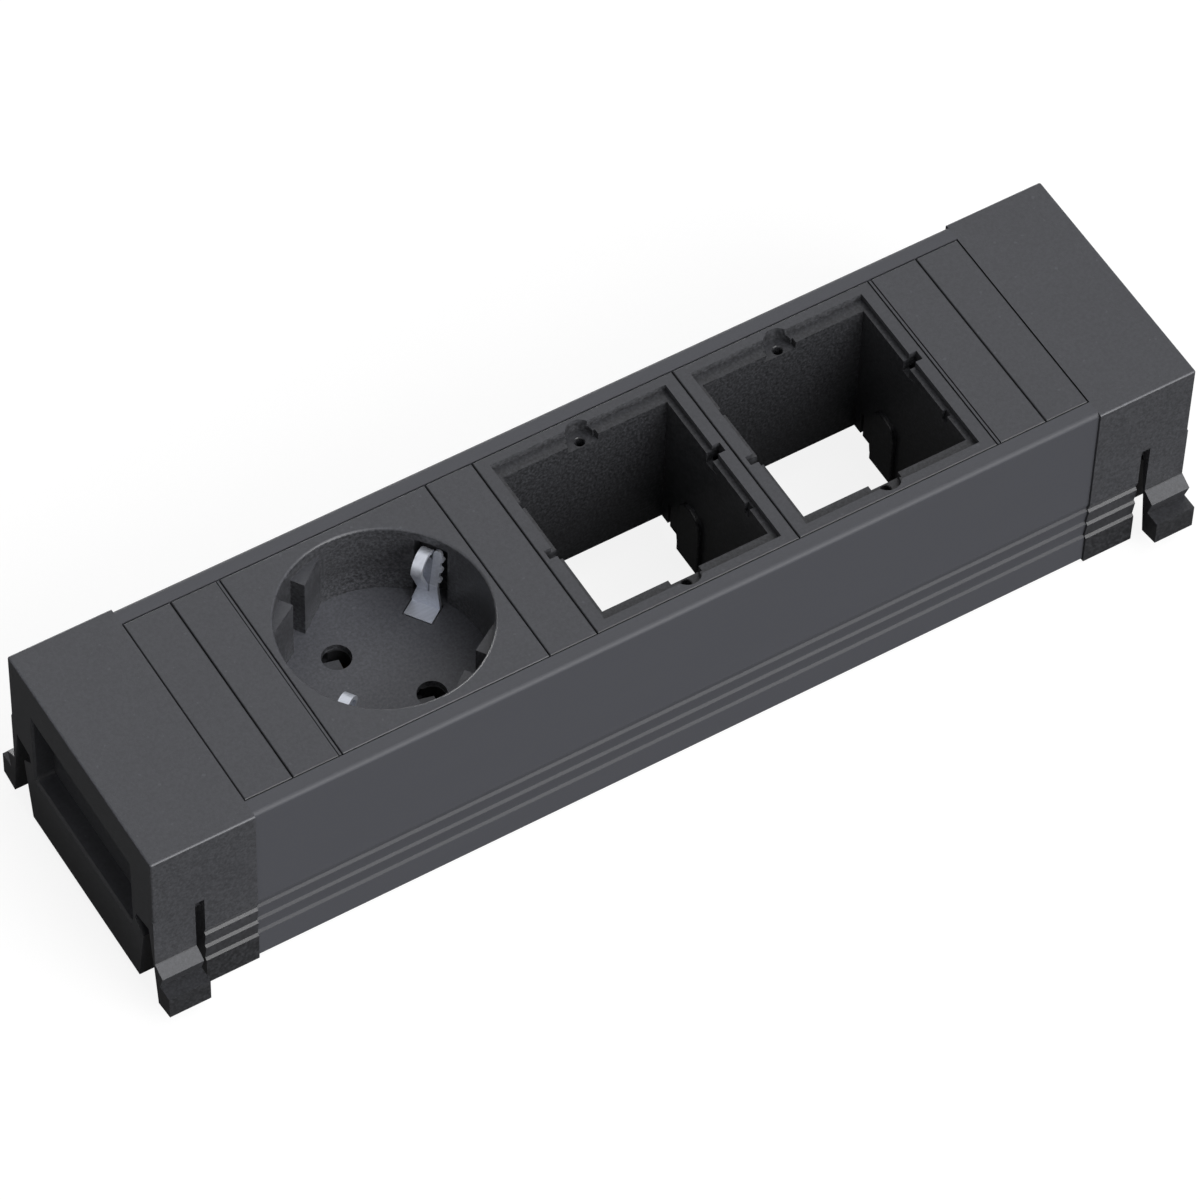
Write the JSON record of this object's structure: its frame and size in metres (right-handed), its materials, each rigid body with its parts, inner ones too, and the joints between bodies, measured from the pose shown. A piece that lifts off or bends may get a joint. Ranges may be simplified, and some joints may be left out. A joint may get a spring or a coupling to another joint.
{
  "type": "in-desk power module",
  "caption": "Long desk-edge power module with a round earthed socket, blank strips and open frames for snap-in modules.",
  "frame": {"origin": "bottom centre of the bounding box", "axes": "+X along the row towards the open frames, +Z towards the desk top, -Y the front rail"},
  "size_m": [0.219, 0.0622, 0.044],
  "materials": {
    "cap_plastic": "fine moulded grain",
    "rail_paint": "black anodised, satin",
    "insert_plastic": "fine moulded grain",
    "frame_plastic": "fine moulded grain",
    "socket_plastic": "fine moulded grain",
    "base_plastic": "plain",
    "shutter_plastic": "plain",
    "spring_steel": "bright",
    "earth_metal": "plated, bright",
    "contact_brass": "plain",
    "screw_steel": "plated"
  },
  "bodies": {
    "module": {"end_cap_left": "cap_plastic", "end_cap_right": "cap_plastic", "side_rail_front": "rail_paint", "side_rail_rear": "rail_paint", "blank_insert_1": "insert_plastic", "blank_insert_2": "insert_plastic", "blank_insert_3": "insert_plastic", "blank_insert_4": "insert_plastic", "blank_insert_5": "insert_plastic", "cell_frame_1": "frame_plastic", "cell_frame_2": "frame_plastic", "socket_insert": "socket_plastic", "socket_base": "base_plastic", "socket_rear_cover": "base_plastic", "shutter_spring": "spring_steel", "earth_bracket": "earth_metal", "contact_live": "contact_brass", "contact_neutral": "contact_brass", "terminal_screw_live": "screw_steel", "terminal_screw_neutral": "screw_steel", "terminal_screw_earth": "screw_steel", "base_screws": "screw_steel", "rear_cover_screws": "screw_steel", "cable_clamp": "cap_plastic", "cable_clamp_screws": "screw_steel"},
    "shutter": {"socket_shutter": "shutter_plastic"}
  },
  "joints": [
    {"name": "shutter_slide", "type": "slide", "parent": "module", "child": "shutter", "axis": [-0.8221, -0.5693, 0], "range_m": [0, 0.004], "stiffness_N_per_m": 60, "springref_m": -0.002, "deforming": ["shutter_spring"]}
  ]
}
